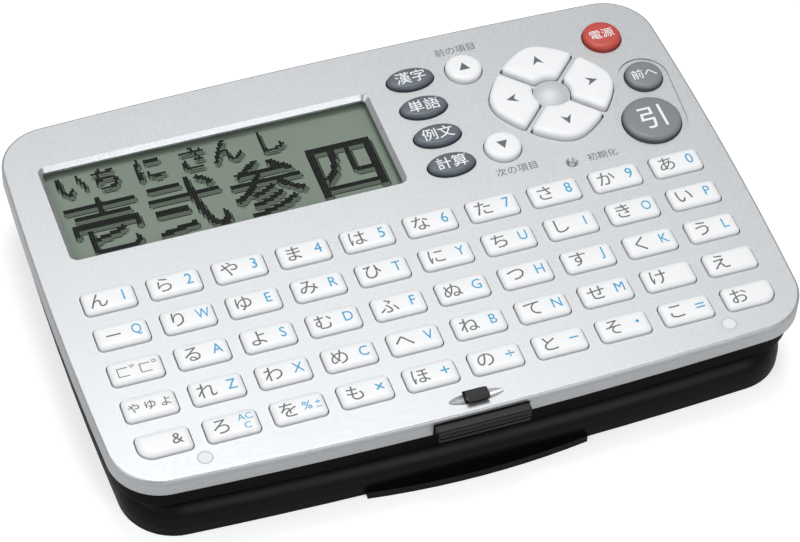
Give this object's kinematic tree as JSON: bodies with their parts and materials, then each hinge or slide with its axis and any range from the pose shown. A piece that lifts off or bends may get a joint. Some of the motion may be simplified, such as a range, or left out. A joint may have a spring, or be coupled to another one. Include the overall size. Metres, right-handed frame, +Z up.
{
  "type": "electronic dictionary",
  "caption": "Card-size electronic dictionary with letter keys, arrow keys, a small monochrome display and a cover on double hinges that folds right round under the body.",
  "frame": {"origin": "on the surface it stands on, under the middle of its outline", "axes": "+X along the key rows to the right, +Y from the front edge to the hinge, +Z up out of the face"},
  "size_m": [0.1152, 0.0822, 0.0158],
  "materials": {
    "silver_face": "fine metallic silver paint under a satin clear coat",
    "black_plastic": "fine spark-eroded texture",
    "black_rubber": "plain soft rubber",
    "cell_steel": "bright nickel-plated steel",
    "contact_brass": "plated spring brass",
    "board_green": "glass-fibre board with solder mask",
    "chip_black": "moulded chip packages",
    "mat_rubber": "grey silicone rubber",
    "window_clear": "clear acrylic, polished",
    "display_glass": "grey-green liquid crystal cell",
    "frame_plastic": "moulded black",
    "connector_rubber": "striped conductive rubber",
    "key_white": "pearl white, satin",
    "key_pearl": "pearl white, satin",
    "key_slate": "dark slate, satin",
    "key_grey": "mid grey, satin",
    "key_red": "red, satin",
    "reset_grey": "plain moulded",
    "slider_black": "satin black",
    "spring_steel": "drawn spring wire",
    "screw_steel": "zinc-plated steel",
    "plug_white": "pale grey, satin",
    "cover_black": "satin black with a fine texture",
    "link_black": "satin black",
    "pin_steel": "ground steel rod"
  },
  "bodies": {
    "case": {"face_panel": "silver_face", "bottom_case": "black_plastic", "rubber_feet": "black_rubber", "battery_door": "black_plastic", "coin_cells": "cell_steel", "battery_contacts": "contact_brass", "main_board": "board_green", "board_chips": "chip_black", "contact_mat": "mat_rubber", "display_window": "window_clear", "display_panel": "display_glass", "display_frame": "frame_plastic", "display_connector": "connector_rubber", "release_springs": "spring_steel", "case_screws": "screw_steel", "screw_plugs": "plug_white", "case_hinge_pins": "pin_steel"},
    "hinge_links": {"hinge_links": "link_black"},
    "cover": {"cover": "cover_black", "cover_hinge_pins": "pin_steel"},
    "release_slider": {"release_slider": "slider_black"},
    "letter_keys_row_1_columns_1_2": {"letter_keys_row_1_columns_1_2": "key_white"},
    "letter_keys_row_1_columns_3_4": {"letter_keys_row_1_columns_3_4": "key_white"},
    "letter_keys_row_1_columns_5_6": {"letter_keys_row_1_columns_5_6": "key_white"},
    "letter_keys_row_1_columns_7_8": {"letter_keys_row_1_columns_7_8": "key_white"},
    "letter_keys_row_1_columns_9_10": {"letter_keys_row_1_columns_9_10": "key_white"},
    "letter_keys_row_2_columns_1_2": {"letter_keys_row_2_columns_1_2": "key_white"},
    "letter_keys_row_2_columns_3_4": {"letter_keys_row_2_columns_3_4": "key_white"},
    "letter_keys_row_2_columns_5_6": {"letter_keys_row_2_columns_5_6": "key_white"},
    "letter_keys_row_2_columns_7_8": {"letter_keys_row_2_columns_7_8": "key_white"},
    "letter_keys_row_2_columns_9_10": {"letter_keys_row_2_columns_9_10": "key_white"},
    "letter_keys_row_3_columns_1_2": {"letter_keys_row_3_columns_1_2": "key_white"},
    "letter_keys_row_3_columns_3_4": {"letter_keys_row_3_columns_3_4": "key_white"},
    "letter_keys_row_3_columns_5_6": {"letter_keys_row_3_columns_5_6": "key_white"},
    "letter_keys_row_3_columns_7_8": {"letter_keys_row_3_columns_7_8": "key_white"},
    "letter_keys_row_3_columns_9_10": {"letter_keys_row_3_columns_9_10": "key_white"},
    "letter_keys_row_4_columns_1_2": {"letter_keys_row_4_columns_1_2": "key_white"},
    "letter_keys_row_4_columns_3_4": {"letter_keys_row_4_columns_3_4": "key_white"},
    "letter_keys_row_4_columns_5_6": {"letter_keys_row_4_columns_5_6": "key_white"},
    "letter_keys_row_4_columns_7_8": {"letter_keys_row_4_columns_7_8": "key_white"},
    "letter_keys_row_4_columns_9_10": {"letter_keys_row_4_columns_9_10": "key_white"},
    "letter_keys_row_5_columns_1_2": {"letter_keys_row_5_columns_1_2": "key_white"},
    "letter_keys_row_5_columns_3_4": {"letter_keys_row_5_columns_3_4": "key_white"},
    "letter_keys_row_5_columns_5_6": {"letter_keys_row_5_columns_5_6": "key_white"},
    "letter_keys_row_5_columns_7_8": {"letter_keys_row_5_columns_7_8": "key_white"},
    "letter_keys_row_5_columns_9_10": {"letter_keys_row_5_columns_9_10": "key_white"},
    "mode_key_1": {"mode_key_1": "key_slate"},
    "mode_key_2": {"mode_key_2": "key_slate"},
    "mode_key_3": {"mode_key_3": "key_slate"},
    "mode_key_4": {"mode_key_4": "key_slate"},
    "previous_key": {"previous_key": "key_white"},
    "next_key": {"next_key": "key_white"},
    "arrow_key_up": {"arrow_key_up": "key_pearl"},
    "arrow_key_left": {"arrow_key_left": "key_pearl"},
    "arrow_key_down": {"arrow_key_down": "key_pearl"},
    "arrow_key_right": {"arrow_key_right": "key_pearl"},
    "power_key": {"power_key": "key_red"},
    "back_key": {"back_key": "key_grey"},
    "lookup_key": {"lookup_key": "key_grey"},
    "reset_button": {"reset_button": "reset_grey"}
  },
  "joints": [
    {"name": "links_on_case", "type": "hinge", "parent": "case", "child": "hinge_links", "pos_m": [0, 0.0401, 0.01018], "axis": [1, 0, 0], "range_deg": [0, 180]},
    {"name": "cover_on_links", "type": "hinge", "parent": "hinge_links", "child": "cover", "pos_m": [0, 0.0401, 0.00285], "axis": [1, 0, 0], "range_deg": [0, 180]},
    {"name": "release_slide", "type": "slide", "parent": "case", "child": "release_slider", "axis": [0, 1, 0], "range_m": [0, 0.0009], "stiffness_N_per_m": 500, "springref_m": -0.0004, "deforming": ["release_springs"]},
    {"name": "letter_keys_row_1_columns_1_2_press", "type": "slide", "parent": "case", "child": "letter_keys_row_1_columns_1_2", "axis": [0, 0, -1], "range_m": [0, 0.0006], "stiffness_N_per_m": 600, "springref_m": -0.0003},
    {"name": "letter_keys_row_1_columns_3_4_press", "type": "slide", "parent": "case", "child": "letter_keys_row_1_columns_3_4", "axis": [0, 0, -1], "range_m": [0, 0.0006], "stiffness_N_per_m": 600, "springref_m": -0.0003},
    {"name": "letter_keys_row_1_columns_5_6_press", "type": "slide", "parent": "case", "child": "letter_keys_row_1_columns_5_6", "axis": [0, 0, -1], "range_m": [0, 0.0006], "stiffness_N_per_m": 600, "springref_m": -0.0003},
    {"name": "letter_keys_row_1_columns_7_8_press", "type": "slide", "parent": "case", "child": "letter_keys_row_1_columns_7_8", "axis": [0, 0, -1], "range_m": [0, 0.0006], "stiffness_N_per_m": 600, "springref_m": -0.0003},
    {"name": "letter_keys_row_1_columns_9_10_press", "type": "slide", "parent": "case", "child": "letter_keys_row_1_columns_9_10", "axis": [0, 0, -1], "range_m": [0, 0.0006], "stiffness_N_per_m": 600, "springref_m": -0.0003},
    {"name": "letter_keys_row_2_columns_1_2_press", "type": "slide", "parent": "case", "child": "letter_keys_row_2_columns_1_2", "axis": [0, 0, -1], "range_m": [0, 0.0006], "stiffness_N_per_m": 600, "springref_m": -0.0003},
    {"name": "letter_keys_row_2_columns_3_4_press", "type": "slide", "parent": "case", "child": "letter_keys_row_2_columns_3_4", "axis": [0, 0, -1], "range_m": [0, 0.0006], "stiffness_N_per_m": 600, "springref_m": -0.0003},
    {"name": "letter_keys_row_2_columns_5_6_press", "type": "slide", "parent": "case", "child": "letter_keys_row_2_columns_5_6", "axis": [0, 0, -1], "range_m": [0, 0.0006], "stiffness_N_per_m": 600, "springref_m": -0.0003},
    {"name": "letter_keys_row_2_columns_7_8_press", "type": "slide", "parent": "case", "child": "letter_keys_row_2_columns_7_8", "axis": [0, 0, -1], "range_m": [0, 0.0006], "stiffness_N_per_m": 600, "springref_m": -0.0003},
    {"name": "letter_keys_row_2_columns_9_10_press", "type": "slide", "parent": "case", "child": "letter_keys_row_2_columns_9_10", "axis": [0, 0, -1], "range_m": [0, 0.0006], "stiffness_N_per_m": 600, "springref_m": -0.0003},
    {"name": "letter_keys_row_3_columns_1_2_press", "type": "slide", "parent": "case", "child": "letter_keys_row_3_columns_1_2", "axis": [0, 0, -1], "range_m": [0, 0.0006], "stiffness_N_per_m": 600, "springref_m": -0.0003},
    {"name": "letter_keys_row_3_columns_3_4_press", "type": "slide", "parent": "case", "child": "letter_keys_row_3_columns_3_4", "axis": [0, 0, -1], "range_m": [0, 0.0006], "stiffness_N_per_m": 600, "springref_m": -0.0003},
    {"name": "letter_keys_row_3_columns_5_6_press", "type": "slide", "parent": "case", "child": "letter_keys_row_3_columns_5_6", "axis": [0, 0, -1], "range_m": [0, 0.0006], "stiffness_N_per_m": 600, "springref_m": -0.0003},
    {"name": "letter_keys_row_3_columns_7_8_press", "type": "slide", "parent": "case", "child": "letter_keys_row_3_columns_7_8", "axis": [0, 0, -1], "range_m": [0, 0.0006], "stiffness_N_per_m": 600, "springref_m": -0.0003},
    {"name": "letter_keys_row_3_columns_9_10_press", "type": "slide", "parent": "case", "child": "letter_keys_row_3_columns_9_10", "axis": [0, 0, -1], "range_m": [0, 0.0006], "stiffness_N_per_m": 600, "springref_m": -0.0003},
    {"name": "letter_keys_row_4_columns_1_2_press", "type": "slide", "parent": "case", "child": "letter_keys_row_4_columns_1_2", "axis": [0, 0, -1], "range_m": [0, 0.0006], "stiffness_N_per_m": 600, "springref_m": -0.0003},
    {"name": "letter_keys_row_4_columns_3_4_press", "type": "slide", "parent": "case", "child": "letter_keys_row_4_columns_3_4", "axis": [0, 0, -1], "range_m": [0, 0.0006], "stiffness_N_per_m": 600, "springref_m": -0.0003},
    {"name": "letter_keys_row_4_columns_5_6_press", "type": "slide", "parent": "case", "child": "letter_keys_row_4_columns_5_6", "axis": [0, 0, -1], "range_m": [0, 0.0006], "stiffness_N_per_m": 600, "springref_m": -0.0003},
    {"name": "letter_keys_row_4_columns_7_8_press", "type": "slide", "parent": "case", "child": "letter_keys_row_4_columns_7_8", "axis": [0, 0, -1], "range_m": [0, 0.0006], "stiffness_N_per_m": 600, "springref_m": -0.0003},
    {"name": "letter_keys_row_4_columns_9_10_press", "type": "slide", "parent": "case", "child": "letter_keys_row_4_columns_9_10", "axis": [0, 0, -1], "range_m": [0, 0.0006], "stiffness_N_per_m": 600, "springref_m": -0.0003},
    {"name": "letter_keys_row_5_columns_1_2_press", "type": "slide", "parent": "case", "child": "letter_keys_row_5_columns_1_2", "axis": [0, 0, -1], "range_m": [0, 0.0006], "stiffness_N_per_m": 600, "springref_m": -0.0003},
    {"name": "letter_keys_row_5_columns_3_4_press", "type": "slide", "parent": "case", "child": "letter_keys_row_5_columns_3_4", "axis": [0, 0, -1], "range_m": [0, 0.0006], "stiffness_N_per_m": 600, "springref_m": -0.0003},
    {"name": "letter_keys_row_5_columns_5_6_press", "type": "slide", "parent": "case", "child": "letter_keys_row_5_columns_5_6", "axis": [0, 0, -1], "range_m": [0, 0.0006], "stiffness_N_per_m": 600, "springref_m": -0.0003},
    {"name": "letter_keys_row_5_columns_7_8_press", "type": "slide", "parent": "case", "child": "letter_keys_row_5_columns_7_8", "axis": [0, 0, -1], "range_m": [0, 0.0006], "stiffness_N_per_m": 600, "springref_m": -0.0003},
    {"name": "letter_keys_row_5_columns_9_10_press", "type": "slide", "parent": "case", "child": "letter_keys_row_5_columns_9_10", "axis": [0, 0, -1], "range_m": [0, 0.0006], "stiffness_N_per_m": 600, "springref_m": -0.0003},
    {"name": "mode_key_1_press", "type": "slide", "parent": "case", "child": "mode_key_1", "axis": [0, 0, -1], "range_m": [0, 0.0006], "stiffness_N_per_m": 600, "springref_m": -0.0003},
    {"name": "mode_key_2_press", "type": "slide", "parent": "case", "child": "mode_key_2", "axis": [0, 0, -1], "range_m": [0, 0.0006], "stiffness_N_per_m": 600, "springref_m": -0.0003},
    {"name": "mode_key_3_press", "type": "slide", "parent": "case", "child": "mode_key_3", "axis": [0, 0, -1], "range_m": [0, 0.0006], "stiffness_N_per_m": 600, "springref_m": -0.0003},
    {"name": "mode_key_4_press", "type": "slide", "parent": "case", "child": "mode_key_4", "axis": [0, 0, -1], "range_m": [0, 0.0006], "stiffness_N_per_m": 600, "springref_m": -0.0003},
    {"name": "previous_key_press", "type": "slide", "parent": "case", "child": "previous_key", "axis": [0, 0, -1], "range_m": [0, 0.0006], "stiffness_N_per_m": 600, "springref_m": -0.0003},
    {"name": "next_key_press", "type": "slide", "parent": "case", "child": "next_key", "axis": [0, 0, -1], "range_m": [0, 0.0006], "stiffness_N_per_m": 600, "springref_m": -0.0003},
    {"name": "arrow_key_up_press", "type": "slide", "parent": "case", "child": "arrow_key_up", "axis": [0, 0, -1], "range_m": [0, 0.0006], "stiffness_N_per_m": 600, "springref_m": -0.0003},
    {"name": "arrow_key_left_press", "type": "slide", "parent": "case", "child": "arrow_key_left", "axis": [0, 0, -1], "range_m": [0, 0.0006], "stiffness_N_per_m": 600, "springref_m": -0.0003},
    {"name": "arrow_key_down_press", "type": "slide", "parent": "case", "child": "arrow_key_down", "axis": [0, 0, -1], "range_m": [0, 0.0006], "stiffness_N_per_m": 600, "springref_m": -0.0003},
    {"name": "arrow_key_right_press", "type": "slide", "parent": "case", "child": "arrow_key_right", "axis": [0, 0, -1], "range_m": [0, 0.0006], "stiffness_N_per_m": 600, "springref_m": -0.0003},
    {"name": "power_key_press", "type": "slide", "parent": "case", "child": "power_key", "axis": [0, 0, -1], "range_m": [0, 0.0006], "stiffness_N_per_m": 600, "springref_m": -0.0003},
    {"name": "back_key_press", "type": "slide", "parent": "case", "child": "back_key", "axis": [0, 0, -1], "range_m": [0, 0.0006], "stiffness_N_per_m": 600, "springref_m": -0.0003},
    {"name": "lookup_key_press", "type": "slide", "parent": "case", "child": "lookup_key", "axis": [0, 0, -1], "range_m": [0, 0.0006], "stiffness_N_per_m": 600, "springref_m": -0.0003},
    {"name": "reset_button_press", "type": "slide", "parent": "case", "child": "reset_button", "axis": [0, 0, -1], "range_m": [0, 0.0004], "stiffness_N_per_m": 500, "springref_m": -0.0003}
  ]
}
